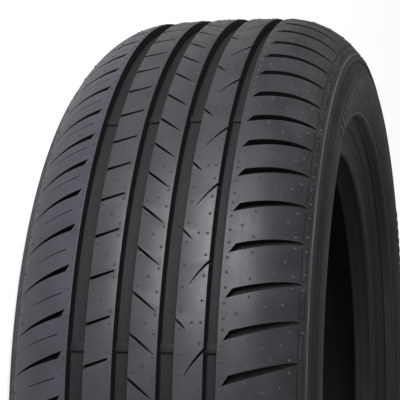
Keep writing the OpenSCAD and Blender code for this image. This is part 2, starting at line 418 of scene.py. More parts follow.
    def outside(self, start: float) -> list[Point]:
        """Outside of one half, from the edge of its outer groove to the heel of the bead.

        Args:
            start: Height of the edge of the outer groove.

        Returns:
            The points as across and radius.
        """
        first = self.shoulder_turn_at(start + self.groove_edge * 2)
        shoulder = self.arc(self.shoulder_centre, self.shoulder_r, first, self.shoulder_turn - self.ridge_turn)
        across = self.shoulder_centre[0] + self.shoulder_r * math.sin(math.radians(self.shoulder_turn))
        radius, rise = self.ridge_d / 2, self.ridge_h
        ridge = [
            (across - rise / 5, radius + rise * 1.1),
            (across + rise / 3, radius + rise * 0.75),
            (across + rise * 0.85, radius + rise * 0.1),
            (across + rise, radius - rise / 3),
            (across + rise * 0.9, radius - rise * 1.5),
        ]
        centre = self.wall_centre
        panel, belt, guard = (self.wall_turn(d) for d in (self.panel_d, self.belt_d, self.guard_d))
        walls = self.arc(centre, self.sidewall_r + self.band_h, panel - self.band_turn, panel)
        walls += self.arc(
            centre, self.sidewall_r - self.panel_sink, panel + self.blend_turn, belt - self.blend_turn
        )
        walls += self.arc(centre, self.sidewall_r, belt, guard)
        across = self.guard_across
        radius, width, rise = self.guard_d / 2, self.guard_w, self.guard_h
        rib = [
            (across + rise * 0.3, radius - width * 0.12),
            (across + rise * 0.55, radius - width * 0.3),
            (across + rise * 0.4, radius - width * 0.6),
            (across - rise * 0.6, radius - width),
            self.guard_foot,
        ]
        heel = self.arc(
            (self.bead_gauge / 2 - self.heel_r, self.seat_d / 2 + self.heel_r), self.heel_r, 95, 180
        )[::4] + [(self.bead_gauge / 2 - self.heel_r, self.seat_d / 2)]
        return shoulder + ridge + walls + rib + self.hollow() + heel

    @property
    def guard_across(self) -> float:
        """Height at which the sidewall's arc ends at the rim guard."""
        return self.wall_centre[0] + self.sidewall_r * math.sin(math.radians(self.wall_turn(self.guard_d)))

    @property
    def guard_foot(self) -> Point:
        """Point under the rim guard where the hollow for the flange starts."""
        return self.guard_across - self.guard_h * 2, self.guard_d / 2 - self.guard_w - self.guard_step

    def hollow_at(self, turn: float, rise: float = 0.0) -> Point:
        """Point of the hollow for the flange, which is a quarter of an ellipse.

        Args:
            turn: Turn from the rim guard in degrees; 90 is just above the heel.
            rise: How far the point stands out of the hollow.

        Returns:
            The point as across and radius.
        """
        start, foot = self.guard_foot, (self.bead_gauge / 2 + self.flange_lip, self.seat_d / 2 + self.flange_h)
        sine, cosine = math.sin(math.radians(turn)), math.cos(math.radians(turn))
        return (
            foot[0] + (start[0] - foot[0]) * (1 - sine) + rise * sine,
            start[1] + (foot[1] - start[1]) * (1 - cosine) - rise * cosine,
        )

    def hollow(self) -> list[Point]:
        """The hollow for the flange, with its two fitting lines as low rounded ribs."""
        half, flank = self.fitting_line_turn / 2, self.fitting_line_flank
        turns = [(turn, 0.0) for turn in self.hollow_turns]
        for at in self.fitting_lines_at:
            turns += [(at - half, 0.0), (at - half / 3, flank), (at, 1.0), (at + half / 3, flank), (at + half, 0.0)]
        return [self.hollow_at(turn, share * self.fitting_line_h) for turn, share in sorted(turns)]

    def inside(self) -> list[Point]:
        """Inside of one half, from the toe of the bead up to the middle of the liner."""
        toe = self.bead_gauge / 2 - self.bead_w
        seat = self.seat_d / 2
        toe_r = seat - (self.bead_w - self.heel_r - self.seat_l) * math.tan(math.radians(self.toe_taper))
        radius = self.sidewall_r - self.sidewall_t
        centre = self.wall_centre
        join = math.sin(math.radians(self.liner_join))
        liner_end = centre[0] + radius * join - self.liner_shoulder_r * join
        liner_r = self.outer_d / 2 - self.tread_t
        return (
            [
                (self.bead_gauge / 2 - self.heel_r - self.seat_l, seat),
                (toe + self.toe_round, toe_r),
                (toe + self.toe_round / 4, toe_r + self.toe_round / 4),
                (toe, toe_r + self.toe_round),
                (toe + self.toe_round, toe_r + self.toe_h),
            ]
            + self.arc(centre, radius, self.liner_foot, self.liner_join + 2 * self.arc_step)[::2]
            + self.arc((liner_end, liner_r - self.liner_shoulder_r), self.liner_shoulder_r, self.liner_join, 0)[::2]
        )

    def groove(self, start: float, end: float) -> list[Point]:
        """Points of one groove, from one edge over its floor to the other, with broken edges.

        Args:
            start: Height of its lower edge.
            end: Height of its upper edge.

        Returns:
            The points as across and radius.
        """
        fillet, edge = self.groove_fillet, self.groove_edge
        lean = (self.groove_depth - fillet) * math.tan(math.radians(self.groove_draft))
        floor = self.crown_at((start + end) / 2) - self.groove_depth + fillet
        first, last = start + lean + fillet, end - lean - fillet
        turns = [math.radians(90 - 22.5 * i) for i in range(5)]
        return (
            [
                (start - edge, self.surface_at(start - edge)),
                (start - edge * 0.3, self.surface_at(start) - edge * 0.2),
                (start, self.surface_at(start) - edge),
            ]
            + [(first - fillet * math.sin(a), floor - fillet * math.cos(a)) for a in turns]
            + [(last + fillet * math.sin(a), floor - fillet * math.cos(a)) for a in reversed(turns)]
            + [
                (end, self.surface_at(end) - edge),
                (end + edge * 0.3, self.surface_at(end) - edge * 0.2),
                (end + edge, self.surface_at(end + edge)),
            ]
        )

    def outline(self) -> list[Point]:
        """The whole section, from the lower liner over the tread to the upper liner."""
        lower = [(-across, radius) for across, radius in reversed(self.outside(self.lower_edge) + self.inside())]
        tread: list[Point] = []
        for start, end in self.grooves:
            tread += self.groove(start, end)
        return lower + tread + self.outside(self.upper_edge) + self.inside()[:-1]


@dataclass(frozen=True)
class Pitches:
    """The angles at which the pattern repeats, with lengths that keep the tread from humming."""

    groups: int = 6
    first: float = 20.25
    lengths: tuple[int, ...] = (50, 56, 54, 50, 46, 44, 48, 50, 48, 46, 53, 52)

    def start(self, index: int) -> float:
        """Angle in degrees at which a pitch starts; an index may lie outside the first group."""
        count = len(self.lengths)
        turn, place = divmod(index, count)
        share = sum(self.lengths[:place]) / sum(self.lengths)
        return self.first + 360 / self.groups * (turn + share)


@dataclass
class TyreBody:
    """The moulded tyre: one sixth is spun from the section and cut, and six of them close the ring."""

    section: Section
    pitches: Pitches
    spin_steps: int = 40
    reach: float = 8.0
    slit_depth: float = 5.8
    slit_w: float = 2.6
    slit_land: float = 3.2
    slit_slope: float = 0.37
    tip_share: float = 0.6
    leaf_w: tuple[Point, ...] = ((0.0, 0.9), (0.2, 1.15), (0.45, 1.1), (0.75, 0.75))
    sipe_w: float = 0.7
    centre_sipe_at: float = 4.27
    centre_sipe_slope: float = -0.845
    centre_sipe_land: float = 2.6
    notch_at: float = 1.07
    notch_l: float = 7.0
    notch_rise: float = -7.8
    slot_at: float = 2.45
    slot_l: float = 12.4
    slot_rise: float = -17.5
    slot_bow: float = 1.2
    shoulder_depth: float = 6.2
    shoulder_gap: float = 3.6
    shoulder_end: float = 97.5
    shoulder_slope: float = 0.3
    floor_fade: float = 2.5
    upper_at: float = 3.45
    upper_w: float = 5.4
    upper_tip_l: float = 4.2
    upper_bend: float = -0.4
    upper_taper: Point = (2.0, 0.5)
    lower_at: float = 2.0
    lower_w: float = 4.4
    lower_tip_l: float = 2.5
    lower_bend: float = 2.4
    lower_taper: Point = (1.15, 1.0)
    blade_end: float = 0.12
    lower_end_gap: float = 1.5
    sipe_at: float = 4.0
    sipe_from: float = 4.0
    sipe_l: float = 22.5
    sipe_rise: float = -6.4
    sipe_depth: float = 3.0
    floor_line_from: float = 6.5
    floor_line_to: float = 1.0
    score_w: float = 0.55
    score_depth: float = 0.4
    score_rows: Point = (96.0, 98.8)
    score_gap: Point = (0.45, 0.85)
    score_slant: Point = (1.0, 2.5)
    score_short: float = 0.6
    arc_end: float = 100.8
    tread_end: float = 101.0
    # Height where the lower shoulder's painted highlight ends and the score lines begin.
    film_end: float = 94.0
    liner_gap: float = 3.0
    score_from: float = 0.15
    cut_from: float = 0.6
    steep_below: float = 0.5
    cap_turn: float = 0.999
    cap_gap: float = 0.02

    def build(self) -> bpy.types.Object:
        """Spins, cuts and closes the tyre.

        Returns:
            The finished piece.
        """
        sector = self.blank()
        Bench.boolean(sector, self.cutters(), "DIFFERENCE")
        self.open_ends(sector)
        step = 360 / self.pitches.groups
        parts = [sector] + [Bench.copy_turned(sector, -step * i) for i in range(1, self.pitches.groups)]
        piece = Bench.join("tyre_body", parts)
        Bench.merge(piece)
        Bench.smooth(piece)
        return piece

    def dress(
        self, piece: bpy.types.Object, materials: dict[Finishes, bpy.types.Material], ribs: WallRibs
    ) -> None:
        """Gives each face the rubber of its zone, by its place in the section.

        Args:
            piece: The finished tyre.
            materials: The material of each finish.
            ribs: The sidewalls' ribs, whose ground is darkened as painted shade.
        """
        order = list(materials)
        for finish in order:
            piece.data.materials.append(materials[finish])
        for face in piece.data.polygons:
            radius, across = face.center.xy.length / MM, abs(face.center.z) / MM
            steep = face.normal.dot(face.center.xy.to_3d().normalized()) < self.steep_below
            side = Side.UPPER if face.center.z > 0 else Side.LOWER
            angle = -90 - math.degrees(math.atan2(face.center.y, face.center.x))
            finish = self.zone(radius, across, side, steep)
            # Round the wall ribs the upper sidewall takes the darker panel rubber as painted shade.
            if finish is Finishes.SIDEWALL and side is Side.UPPER and ribs.ground(radius, angle):
                finish = Finishes.PANEL
            face.material_index = order.index(finish)

    def zone(self, radius: float, across: float, side: Side, steep: bool) -> Finishes:
        """Says which finish a face has.

        Args:
            radius: Distance of the face from the axle.
            across: Its height above or below the middle plane.
            side: The side that it is on.
            steep: Whether it turns from the tread's surface, as the wall of a groove does.

        Returns:
            The finish.
        """
        s = self.section
        centre = s.wall_centre
        ridge_r = s.ridge_d / 2
        if radius > ridge_r and across < self.tread_end:
            depth = s.surface_at(min(across, self.arc_end)) - radius
            if depth > s.tread_t - self.liner_gap:
                return Finishes.INSIDE
            # The fine score lines along the shoulder edge are painted dark as shade.
            if across > self.film_end and depth > self.score_from:
                return Finishes.WALL
            if depth > self.cut_from:
                # Groove walls and the lines cut below the groove floors are painted dark as shade.
                below = depth > s.groove_depth + self.score_depth / 2
                return Finishes.WALL if steep or below else Finishes.GROOVE
            if across < s.crown_w / 2:
                return Finishes.TREAD
            # The lower shoulder, up to the end height, gets lighter bluish rubber as a painted highlight; the upper
            # shoulder keeps the plain shoulder rubber.
            return Finishes.FILM if side is Side.LOWER and across < self.film_end else Finishes.SHOULDER
        gap = math.hypot(across - centre[0], radius - centre[1])
        if radius > s.guard_d / 2 and gap < s.sidewall_r - s.sidewall_t / 2:
            return Finishes.INSIDE
        # The ridge crest, the band's edge line and the rim guard rib get the light edge rubber as a painted highlight.
        if 0 < radius - ridge_r < s.ridge_h and across > self.tread_end:
            return Finishes.EDGE
        if 0 < radius - s.panel_d / 2 < s.ridge_h and gap > s.sidewall_r + s.band_h * 0.8:
            return Finishes.EDGE
        # The darker panel rubber also reaches over the step at the panel's outer edge, where it is painted shade.
        if s.belt_d / 2 < radius < s.panel_d / 2 + 0.5:
            return Finishes.PANEL
        if 0 < s.guard_d / 2 - radius < s.guard_w * 0.7 and across > s.guard_across - 1:
            return Finishes.EDGE
        if radius < s.guard_d / 2 and across < s.bead_gauge / 2 - s.bead_w / 2:
            return Finishes.INSIDE
        return Finishes.SIDEWALL

    def blank(self) -> bpy.types.Object:
        """The plain sector: the section is drawn, spun through one group of pitches and capped."""
        turn = math.radians(-90 - self.pitches.first)
        outward = Vector((math.cos(turn), math.sin(turn), 0))
        points = [outward * radius * MM + Vector((0, 0, across * MM)) for across, radius in self.section.outline()]
        piece = Bench.trace("tyre_sector", points)
        bpy.ops.mesh.spin(
            steps=self.spin_steps,
            angle=math.radians(360 / self.pitches.groups),
            center=(0, 0, 0),
            axis=(0, 0, 1),
        )
        bpy.ops.mesh.select_all(action="DESELECT")
        bpy.ops.mesh.select_non_manifold()
        bpy.ops.mesh.edge_face_add()
        bpy.ops.mesh.select_all(action="SELECT")
        bpy.ops.mesh.normals_make_consistent(inside=False)
        bpy.ops.object.mode_set(mode="OBJECT")
        return piece

    def open_ends(self, piece: bpy.types.Object) -> None:
        """Deletes the two caps of the sector, which lie in the planes where the copies meet.

        Args:
            piece: The sector.
        """
        step = 360 / self.pitches.groups
        planes = [math.radians(-90 - self.pitches.first - side * step) for side in (0, 1)]
        normals = [Vector((-math.sin(a), math.cos(a), 0)) for a in planes]
        Bench.pick(
            piece,
            lambda face: any(
                abs(face.normal.dot(n)) > self.cap_turn and abs(face.center.dot(n)) < self.cap_gap * MM
                for n in normals
            ),
        )
        bpy.ops.mesh.delete(type="FACE")
        bpy.ops.mesh.select_mode(type="VERT")
        bpy.ops.object.mode_set(mode="OBJECT")

    def cutters(self) -> bpy.types.Object:
        """All cuts of one group, with those of the neighbouring pitches that reach into it."""
        tools = []
        s = self.section
        masters = (
            (self.slit(), 0.0, None),
            (self.centre_sipe(), self.centre_sipe_at, None),
            (self.notch(), self.notch_at, 1),
            (self.slot(), self.slot_at, 0),
            (self.shoulder_groove(Side.UPPER), self.upper_at, None),
            (self.shoulder_groove(Side.LOWER), self.lower_at, None),
            (self.shoulder_sipe(), self.sipe_at, None),
            (self.floor_line(-s.rib_edge, self.centre_sipe_slope), self.centre_sipe_at, 1),
            (self.floor_line(s.inner_groove_edge, -1.0), self.notch_at, 1),
        )
        for tool, offset, parity in masters:
            for index in range(-2, len(self.pitches.lengths) + 1):
                if parity is None or index % 2 == parity:
                    tools.append(Bench.copy_turned(tool, -90 - self.pitches.start(index) - offset))
            bpy.data.objects.remove(tool)
        for side in Side:
            tools += self.scores(side)
        return Bench.join("cutters", tools)

    def scores(self, side: Side) -> list[bpy.types.Object]:
        """Fine moulded lines along the edge of a shoulder, between the ends of its blades.

        Args:
            side: The shoulder.

        Returns:
            The cutters.
        """
        upper, sign = side is Side.UPPER, side.value
        tip = (self.section.upper_edge if upper else self.section.lower_edge) + self.shoulder_gap
        wide, bend = (self.upper_w, self.upper_bend) if upper else (self.lower_w, self.lower_bend)
        inner, outer = self.score_rows
        along = wide / 2 + self.shoulder_slope * (self.shoulder_end - tip) + bend
        lead = math.degrees(along / self.section.surface_at(inner))
        offset = self.upper_at + lead if upper else self.lower_at - lead
        lines = []
        for index in range(-3, len(self.pitches.lengths) + 3):
            first = self.pitches.start(index) + offset + self.score_gap[0]
            last = self.pitches.start(index + 1) + offset - self.score_gap[1]
            between = inner + self.score_w * 1.2, outer - self.score_w * 1.2
            lines += [((inner, first), (inner, last)), ((between[0], first), (between[1], first))]
            if index % 3 == 0:
                slant = [(between[i], first + self.score_slant[i]) for i in range(2)]
                lines += [((outer, first), (outer, last)), (slant[0], slant[1])]
            elif index % 3 == 1:
                lines += [((outer, first), (outer, last + sum(self.score_gap) / 2))]
            else:
                short, back = last - self.score_short, last - self.score_slant[0]
                lines += [((outer, first), (outer, short)), ((outer, last), (between[0], back))]
        begin = self.pitches.first
        return [
            self.score((sign * start[0], start[1]), (sign * end[0], end[1]))
            for start, end in lines
            if max(start[1], end[1]) > begin and min(start[1], end[1]) < begin + 360 / self.pitches.groups
        ]

    def score(self, start: Point, end: Point) -> bpy.types.Object:
        """Cutter for a fine straight line between two places of across and angle.

        Args:
            start: First end of the line.
            end: Last end of the line.

        Returns:
            The cutter.
        """
        s = self.section
        ends = s.spot(*start), s.spot(*end)
        run = ends[1] - ends[0]
        out = s.normal((start[0] + end[0]) / 2, (start[1] + end[1]) / 2)
        side = out.cross(run).normalized()
        Bench.clear()
        height = 2 * self.score_depth
        bpy.ops.mesh.primitive_cube_add(size=1, scale=Vector((run.length / MM, self.score_w, height)) * MM)
        line = bpy.context.object
        bpy.ops.object.transform_apply(scale=True)
        axes = Matrix((run.normalized(), side, run.normalized().cross(side))).transposed().to_4x4()
        line.matrix_world = Matrix.Translation((ends[0] + ends[1]) / 2) @ axes
        bpy.ops.object.transform_apply(location=True, rotation=True)
        return line

    def radial(self, name: str, outline: list[Point], floor: float) -> bpy.types.Object:
        """Prism from an outline of across and along, above a radius, for a pitch along +X.

        Args:
            name: Name of the cutter.
            outline: Its corners as across and along.
            floor: Radius at which it starts.

        Returns:
            The cutter.
        """
        points = [Vector((floor, -along, across)) * MM for across, along in outline]
        height = self.section.outer_d / 2 + self.reach - floor
        return Bench.prism(name, points, Vector((height * MM, 0, 0)))

    @staticmethod
    def taper(start: float, end: float, rise: float, wide: float, narrow: float) -> list[Point]:
        """Outline of a straight slit that narrows from its open end to its tip."""
        return [(start, -wide / 2), (start, wide / 2), (end, rise + narrow / 2), (end, rise - narrow / 2)]

    def leaf(self, start: float, end: float, rise: float) -> list[Point]:
        """Outline of a straight sipe with a broken edge, widest near its open end and pointed at its tip.

        Args:
            start: Height of its open end.
            end: Height of its tip.
            rise: How far along the tip lies from the open end.

        Returns:
            The corners as across and along.
        """
        half = [*self.leaf_w, (1.0, self.sipe_w / 3)]
        sides = [(start + (end - start) * t, rise * t + width) for t, width in half]
        return sides + [(start + (end - start) * t, rise * t - width) for t, width in reversed(half)]

    def slit(self) -> bpy.types.Object:
        """Slit in the rib on the lower side."""
        s = self.section
        rise = (s.mid_rib_w - self.slit_land) * self.slit_slope
        outline = self.taper(
            -s.outer_rib_edge - 1,
            -s.inner_groove_edge - self.slit_land,
            rise,
            self.slit_w,
            self.slit_w * self.tip_share,
        )
        return self.radial("slit", outline, s.outer_d / 2 - self.slit_depth)

    def centre_sipe(self) -> bpy.types.Object:
        """Slanted sipe in the middle rib."""
        s = self.section
        rise = (s.centre_rib_w - self.centre_sipe_land) * self.centre_sipe_slope
        outline = self.leaf(-s.rib_edge - 1, s.rib_edge - self.centre_sipe_land, rise)
        return self.radial("centre_sipe", outline, s.outer_d / 2 - self.slit_depth)

    def notch(self) -> bpy.types.Object:
        """Short notch in the inner edge of the rib on the upper side."""
        s = self.section
        edge = s.inner_groove_edge
        outline = self.leaf(edge - 1, edge + self.notch_l, self.notch_rise)
        return self.radial("notch", outline, s.outer_d / 2 - self.slit_depth)

    def floor_line(self, edge: float, slope: float) -> bpy.types.Object:
        """Fine line that a mould blade leaves on a groove's floor, beside the rib that starts at an edge.

        Args:
            edge: Height at which the rib starts.
            slope: Slant of the line, along for each unit across.

        Returns:
            The cutter.
        """
        s = self.section
        start, end = edge - self.floor_line_from, edge - self.floor_line_to - s.groove_fillet
        outline = self.taper(start, end, (end - start) * slope, self.score_w, self.score_w)
        outline = [(across, along + (start - edge) * slope) for across, along in outline]
        return self.radial("floor_line", outline, s.outer_d / 2 - s.groove_depth - self.score_depth)

    def slot(self, steps: int = 8) -> bpy.types.Object:
        """Bowed slot in the outer edge of the rib on the upper side.

        Args:
            steps: Number of steps along its length.

        Returns:
            The cutter.
        """
        s = self.section
        start, end = s.outer_rib_edge + 1, s.outer_rib_edge - self.slot_l
        sides: dict[int, list[Point]] = {1: [], -1: []}
        for side, points in sides.items():
            for i in range(steps + 1):
                t = i / steps
                width = self.slit_w + (self.sipe_w - self.slit_w) * t**2
                along = self.slot_rise * t + self.slot_bow * 4 * t * (1 - t) + side * width / 2
                points.append((start + (end - start) * t, along))
        return self.radial("slot", sides[1] + sides[-1][::-1], s.outer_d / 2 - self.slit_depth)

    def shoulder_floor(self, side: Side, depth: float, tip: float, end: float, steps: int) -> list[Point]:
        """Floor of a shoulder cut as points of radius and across, rising to the surface at its outer end.

        Args:
            side: The shoulder.
            depth: Depth at its inner end.
            tip: Height of its inner end.
            end: Height of its outer end.
            steps: Number of steps along it.

        Returns:
            The points.
        """
        s = self.section
        start, stop = s.shoulder_turn_at(tip), s.shoulder_turn_at(end)
        floor = []
        for i in range(steps + 1):
            turn = math.radians(start + (stop - start) * i / steps)
            radius = s.shoulder_r - depth * (1 - (i / steps) ** self.floor_fade) + 0.1 * (i == steps)
            floor.append(
                (
                    s.shoulder_centre[1] + radius * math.cos(turn),
                    side.value * (s.shoulder_centre[0] + radius * math.sin(turn)),
                )
            )
        return floor

    def shoulder_cut(self, name: str, side: Side, outline: list[Point], floor: list[Point]) -> bpy.types.Object:
        """Solid that is an outline seen from outside, above a floor line seen along the tread.

        Args:
            name: Name of the cutter.
            side: The shoulder.
            outline: Corners as across and along.
            floor: Points of the floor as radius and across.

        Returns:
            The cutter.
        """
        s = self.section
        top, inner, outer = s.outer_d / 2 + self.reach, floor[0], floor[-1]
        sign = side.value
        tool = self.radial(name, outline, outer[0] - self.reach)
        line = (
            [(inner[0], inner[1] - sign * self.reach)]
            + floor
            + [
                (outer[0] - self.reach / 2, outer[1] + sign * self.reach),
                (top, outer[1] + sign * self.reach),
                (top, inner[1] - sign * self.reach),
            ]
        )
        half = s.section_w / 4
        points = [Vector((radius, -half, across)) * MM for radius, across in line]
        band = Bench.prism("floor_band", points, Vector((0, 2 * half * MM, 0)))
        Bench.boolean(tool, band, "INTERSECT")
        return tool

    def shoulder_groove(self, side: Side, steps: int = 12) -> bpy.types.Object:
        """Slanted blade of a shoulder, with a sharp tip at its inner end and a fading outer end.

        Args:
            side: The shoulder.
            steps: Number of steps along each edge.

        Returns:
            The cutter.
        """
        s = self.section
        upper = side is Side.UPPER
        tip = (s.upper_edge if upper else s.lower_edge) + self.shoulder_gap
        end = self.shoulder_end - (0 if upper else self.lower_end_gap)
        wide = self.upper_w if upper else self.lower_w
        nib = self.upper_tip_l if upper else self.lower_tip_l
        bend = self.upper_bend if upper else self.lower_bend
        fade, roundness = self.upper_taper if upper else self.lower_taper
        long, sign = end - tip, side.value

        def point(t: float, edge: int) -> Point:
            """Point of the outline at a share of its length, on one of its edges."""
            middle = wide / 2 + self.shoulder_slope * long * t + bend * t**4
            half = max(self.blade_end, wide / 2 * (1 - t**fade) ** roundness)
            return sign * (tip + long * t), sign * (middle + edge * half)

        start = nib / long
        outline = [point(start + (1 - start) * i / steps, 1) for i in range(steps + 1)]
        outline += [point(i / steps, -1) for i in range(steps, -1, -1)]
        floor = self.shoulder_floor(side, self.shoulder_depth, tip, end, 10)
        return self.shoulder_cut(f"{side.name.lower()}_blade", side, outline, floor)

    def shoulder_sipe(self) -> bpy.types.Object:
        """Shallow sipe between two grooves of the lower shoulder."""
        start = self.section.lower_edge + self.shoulder_gap + self.sipe_from
        end = start + self.sipe_l
        outline = self.taper(-start, -end, self.sipe_rise, self.sipe_w, self.sipe_w * self.tip_share)
        floor = self.shoulder_floor(Side.LOWER, self.sipe_depth, start, end, 6)
        return self.shoulder_cut("shoulder_sipe", Side.LOWER, outline, floor)


@dataclass(frozen=True)
class NubRing:
    """Vent nubs that lie at one height and at the same place of each pitch."""

    across: float
    at: tuple[float, ...]
    parity: int | None = None


@dataclass
class VentNubs:
    """The trimmed stubs of rubber that the vents of the mould leave on the tread."""

    section: Section
    pitches: Pitches
    foot: float = 1.25
    radius: float = 0.95
    height: float = 0.3
    pit: float = 0.45
    lip: float = 0.08
    pit_depth: float = 0.25
    clear: float = 0.1
    sunk: float = 0.3
    sides: int = 8
    rings: tuple[NubRing, ...] = (
        NubRing(-98.9, (0.8, 3.6)),
        NubRing(-93.3, (2.0,)),
        NubRing(-90.8, (0.7, 4.4)),
        NubRing(-82.6, (1.0,), 1),
        NubRing(-68.4, (0.2, 2.3)),
        NubRing(-54.0, (1.2, 2.95, 4.55)),
        NubRing(-37.2, (0.85, 4.65)),
        NubRing(-30.3, (3.1,)),
        NubRing(-23.6, (0.23, 1.85)),
        NubRing(-6.6, (3.0, 4.85)),
        NubRing(0.2, (0.35,)),
        NubRing(6.8, (1.35, 4.1)),
        NubRing(23.7, (1.85, 4.75)),
        NubRing(31.1, (0.5,)),
        NubRing(37.1, (0.5, 3.1)),
        NubRing(51.7, (1.0, 2.85, 4.75)),
        NubRing(59.2, (1.7,), 1),
        NubRing(66.8, (0.35, 3.75)),
        NubRing(77.0, (2.7,)),
        NubRing(81.2, (1.4,), 0),
        NubRing(87.0, (3.3,)),
        NubRing(91.9, (0.05, 1.6)),
        NubRing(98.3, (0.3, 2.4)),
    )

    def build(
        self, tread: bpy.types.Object, skin: bpy.types.Material, cut: bpy.types.Material
    ) -> bpy.types.Object:
        """Makes one nub, places a group of them and repeats the group round the tyre.

        Args:
            tread: The finished tyre, which says where there is land under a nub.
            skin: Material of the nub and of the ring round its pit, a lighter rubber that paints a highlight.
            cut: Material of the pit's floor, the darker groove rubber, as painted shade.

        Returns:
            The finished piece.
        """
        nub = self.nub()
        for material in (skin, cut):
            nub.data.materials.append(material)
        # The pit's floor takes the darker material as painted shade, the rest of the nub the lighter one as a painted
        # highlight.
        for face in nub.data.polygons:
            face.material_index = int(face.select)
        tools = []
        mesh = tread.data
        land = BVHTree.FromPolygons([vertex.co for vertex in mesh.vertices], [face.vertices for face in mesh.polygons])
        for ring in self.rings:
            for index in range(len(self.pitches.lengths)):
                if ring.parity in (None, index % 2):
                    for angle in (self.pitches.start(index) + offset for offset in ring.at):
                        if self.on_land(land, ring.across, angle):
                            tools.append(self.placed(nub, ring.across, angle))
        bpy.data.objects.remove(nub)
        group = Bench.join("nub_group", tools)
        step = 360 / self.pitches.groups
        parts = [group] + [Bench.copy_turned(group, -step * i) for i in range(1, self.pitches.groups)]
        piece = Bench.join("vent_nubs", parts)
        Bench.smooth(piece, 50)
        return piece

    def on_land(self, land: BVHTree, across: float, angle: float) -> bool:
        """Says whether the whole foot of a nub stands on the tread's surface.

        Args:
            land: The faces of the finished tyre.
            across: Height of the nub.
            angle: Its angle round the tyre.

        Returns:
            Whether the centre and the rim of the foot all lie on the surface.
        """
        spot, out = self.section.spot(across, angle), self.section.normal(across, angle)
        aside = out.orthogonal().normalized() * self.foot * MM
        rim = [spot + Matrix.Rotation(math.radians(60 * i), 3, out) @ aside for i in range(6)]
        return all(land.find_nearest(at)[3] < self.clear * MM for at in [spot, *rim])

    def nub(self) -> bpy.types.Object:
        """One nub about the origin, pointing along +X, with a shallow pit in its cut end."""
        Bench.clear()
        depth = self.height + self.sunk
        bpy.ops.mesh.primitive_cone_add(
            vertices=self.sides,
            radius1=self.foot * MM,
            radius2=self.radius * MM,
            depth=depth * MM,
            location=((self.height - self.sunk) / 2 * MM, 0, 0),
            rotation=(0, math.pi / 2, 0),
        )
        nub = bpy.context.object
        bpy.ops.object.transform_apply(location=True, rotation=True)
        Bench.pick(nub, lambda face: face.normal.x > 0.9)
        bpy.ops.mesh.inset(thickness=(self.radius - self.pit) / 2 * MM)
        bpy.ops.transform.translate(value=(self.lip * MM, 0, 0))
        bpy.ops.mesh.inset(thickness=(self.radius - self.pit) / 2 * MM)
        bpy.ops.transform.translate(value=(-self.pit_depth * MM, 0, 0))
        bpy.ops.object.mode_set(mode="OBJECT")
        return nub

    def placed(self, nub: bpy.types.Object, across: float, angle: float) -> bpy.types.Object:
        """Copies the nub to a height and an angle of the tread, square to its surface.

        Args:
            nub: The nub about the origin.
            across: Height of the copy.
            angle: Its angle round the tyre.

        Returns:
            The copy.
        """
        Bench.take(nub)
        bpy.ops.object.duplicate(linked=False)
        copy = bpy.context.object
        turn = Matrix.Rotation(math.radians(-90 - angle), 4, "Z")
        spot = Matrix.Translation(Vector((self.section.surface_at(across), 0, across)) * MM)
        lean = Matrix.Rotation(-math.radians(self.section.lean_at(across)), 4, "Y")
        copy.matrix_world = turn @ spot @ lean
        bpy.ops.object.transform_apply(location=True, rotation=True, scale=False)
        return copy


@dataclass
class WearBars:
    """The low bars across the groove floors that come level with the worn tread."""

    section: Section
    count: int = 11
    height: float = 1.6
    length: float = 6.5
    first: float = 22.9
    sunk: float = 0.5
    edge: float = 0.4

    def build(self) -> bpy.types.Object:
        """Makes a bar for each groove and repeats it round the tyre.

        Returns:
            The finished piece.
        """
        parts = []
        for start, end in self.section.grooves:
            bar = self.bar(start, end)
            parts += [Bench.copy_turned(bar, -90 - self.first - 360 / self.count * i) for i in range(self.count)]
            bpy.data.objects.remove(bar)
        piece = Bench.join("wear_bars", parts)
        Bench.smooth(piece)
        return piece

    def bar(self, start: float, end: float) -> bpy.types.Object:
        """One bar of a groove, for an angle along +X.

        Args:
            start: Height of the lower edge of the groove.
            end: Height of its upper edge.

        Returns:
            The bar.
        """
        s = self.section
        floor = s.crown_at((start + end) / 2) - s.groove_depth
        lean = (s.groove_depth - self.height) * math.tan(math.radians(s.groove_draft)) - self.sunk
        Bench.clear()
        bpy.ops.mesh.primitive_cube_add(
            size=1,
            location=Vector((floor + (self.height - self.sunk) / 2, 0, (start + end) / 2)) * MM,
            scale=Vector((self.height + self.sunk, self.length, end - start - 2 * lean)) * MM,
        )
        bar = bpy.context.object
        bpy.ops.object.transform_apply(location=True, scale=True)
        Bench.pick(bar, lambda face: face.normal.x > 0.9)
        bpy.ops.mesh.bevel(offset=self.edge * MM, segments=2)
        bpy.ops.object.mode_set(mode="OBJECT")
        return bar


